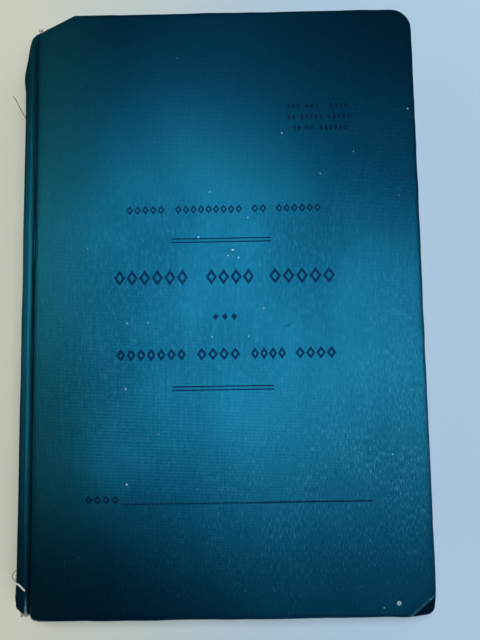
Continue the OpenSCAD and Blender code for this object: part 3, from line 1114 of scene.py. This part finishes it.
def print_places():
    """Ends and heights of the double rules, then ends and height of the name line."""
    points = np.array([v.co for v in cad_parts["cover_print"].data.vertices]) / MM
    near_lowest = points[:, 1] < points[:, 1].min() + 1
    name, rest = points[near_lowest], points[~near_lowest]
    halves = rest[rest[:, 1] > 0], rest[rest[:, 1] < 0]
    heights = [(half[:, 1].max() + half[:, 1].min()) / 2 for half in halves]
    rule_ends, name_ends = ((part[:, 0].min(), part[:, 0].max()) for part in (rest, name))
    return rule_ends, heights, name_ends, name[:, 1].mean()


def make_print():
    points, faces = [], []
    for row in PRINT_ROWS:
        lozenge_row(points, faces, *row)
    rule_ends, heights, name_ends, name_y = print_places()
    for y in heights:
        for side in (-RULE_GAP / 2, RULE_GAP / 2):
            add_ring(points, faces, bar(*rule_ends, y + side, RULE_STROKE))
    add_ring(points, faces, bar(*name_ends, name_y, NAME_STROKE))
    piece = add_mesh("stamped_print", points, faces, INK, smooth=False)
    settle(piece, "front_cover", "cover_print")


# ---- loose threads

def tube(name, points, radius, material, steps=6, sides=7):
    """A thread along a smooth curve through points, thinner and rounded off at its ends."""
    points = np.array(points, float)
    flat, rise = (curve_through(points[:, axes], steps) for axes in ((0, 1), (2, 1)))
    line = np.column_stack([flat, rise[:, 0]])
    run = np.gradient(line, axis=0)
    run /= np.linalg.norm(run, axis=1)[:, None]
    side = np.cross(run, (0.3, 0.1, 1))
    side /= np.linalg.norm(side, axis=1)[:, None]
    up = np.cross(side, run)
    last = len(line) - 1
    rings = []
    for k, place in enumerate(line):
        taper = min(1, 0.35 + k / 2, 0.35 + (last - k) / 2)
        rings.append([place + radius * taper * (math.cos(a) * side[k] + math.sin(a) * up[k])
                      for a in np.arange(sides) * 2 * math.pi / sides])
    mesh_points, faces = loft(rings)
    return add_mesh(name, mesh_points, faces, material)


THREADS = (
    ("loose_thread_head", 0.16, BROWN_THREAD, ROUND_BEND, (
        (-73.4, 72.4, 12.8), (-74.4, 74.4, 13.3), (-75.7, 76.6, 13.4), (-77.2, 79.6, 13.2),
        (-78.6, 82.0, 12.8), (-79.5, 82.5, 12.4))),
    ("loose_thread_tail", 0.33, PALE_THREAD, FRONT_BEND, (
        (-73.7, -97.2, 14.0), (-74.4, -98.3, 15.2), (-73.4, -98.5, 17.1), (-71.7, -98.5, 18.6),
        (-70.3, -99.3, 19.4), (-69.0, -100.4, 19.75))),
    ("loose_thread_loop", 0.14, BROWN_THREAD, FRONT_BEND, (
        (-73.9, -94.6, 13.4), (-74.9, -95.6, 13.9), (-75.7, -96.9, 13.6), (-75.4, -97.7, 13.8),
        (-74.7, -98.0, 14.4), (-74.2, -98.2, 15.0))))

# Tufts: their middle, how many fibres, and 1 towards the head or -1 towards the tail
TUFTS = (("loose_fibres_tail", GREY_THREAD, (-69.4, -108.5, 19.0), 18, -1),
         ("loose_fibres_head", BROWN_THREAD, (-66.6, 105.2, 18.9), 5, 1))


def make_tuft(rng, name, material, middle, count, way):
    x, y, z = middle
    for k in range(count):
        dx, dz = rng.uniform(-0.9, 0.9), rng.uniform(-0.8, 0.2)
        reach = rng.uniform(0.7, 1.7) * way
        start = np.array((x + dx, y - 0.5 * way, z + dz * 0.5))
        bent = start + (rng.uniform(-0.4, 0.4), reach * 0.6, rng.uniform(-0.3, 0.2))
        end = start + (rng.uniform(-0.9, 0.9), reach, rng.uniform(-0.9, 0.1))
        fibre = tube(f"{name}_{k}", [start, bent, end], rng.uniform(0.08, 0.16), material, 4, 5)
        settle(fibre, FRONT_BEND, None)


def make_threads():
    for name, radius, material, bend, points in THREADS:
        settle(tube(name, points, radius, material), bend, None)
    rng = np.random.default_rng(7)
    for tuft in TUFTS:
        make_tuft(rng, *tuft)


make_inside()
make_print()
make_threads()


# ---- floor and lights

FLOOR_SIZE = 40000
LIGHT_AIM = (0.0, 0.0, 0.02)


def floor_material():
    """Pale painted board, with painted warm light on the spine's side and painted cool light on the other,
    plain further out.
    """
    n = Nodes("floor")
    place = n.split(n.rest())
    # Painted warm light on the spine's side and painted cool light on the other
    colour = n.mix(n.fade(place[0], -108, 60), rgb(0.89, 0.82, 0.64), rgb(0.6, 0.78, 1.0))
    colour = n.mix(n.fade(n.distance(place[0], place[1]), 150, 600), colour, rgb(0.76, 0.78, 0.79))
    grain = n.noise(0.02, 3.0)
    colour = n.mix(n.fade(grain, 0.2, 0.8, 0, 0.12), colour, rgb(0.7, 0.72, 0.72))
    return n.set(base_color=colour, roughness=0.9)


def make_floor():
    half = FLOOR_SIZE / 2
    corners = [(-half, -half, 0), (half, -half, 0), (half, half, 0), (-half, half, 0)]
    add_mesh("floor", corners, [(0, 1, 2, 3)], floor_material(), smooth=False)


def area_light(name, place, side, power, colour):
    """A soft square light over the book. place and side are in metres."""
    data = bpy.data.lights.new(name, "AREA")
    data.shape = "RECTANGLE"
    data.size, data.size_y = side, side
    data.energy = power
    data.color = colour
    light = bpy.data.objects.new(name, data)
    light.location = place
    light.rotation_euler = (Vector(LIGHT_AIM) - Vector(place)).to_track_quat("-Z", "Y").to_euler()
    scene.collection.objects.link(light)


def make_world():
    """A pale room: bright round the sides, dim overhead where the two lights hang."""
    world = bpy.data.worlds.new("soft_room")
    n = Nodes("soft_room", world=world)
    height = n.split(n.add("TexCoord").outputs["Generated"])[2]
    sides = n.fade(height, 0.0, 0.2, 0.7, 1.35)
    overhead = n.fade(height, 0.3, 0.65, 1.0, 0.02)
    n.set(color=rgb(0.94, 0.98, 1.0), strength=n.times(sides, overhead))
    scene.world = world


make_floor()
area_light("overhead", (-0.015, 0.115, 0.6), 0.13, 1.4, (0.87, 0.985, 1.0))
area_light("overhead_right", (0.2, -0.1, 0.6), 0.15, 0.62, (0.8, 0.94, 1.0))
make_world()
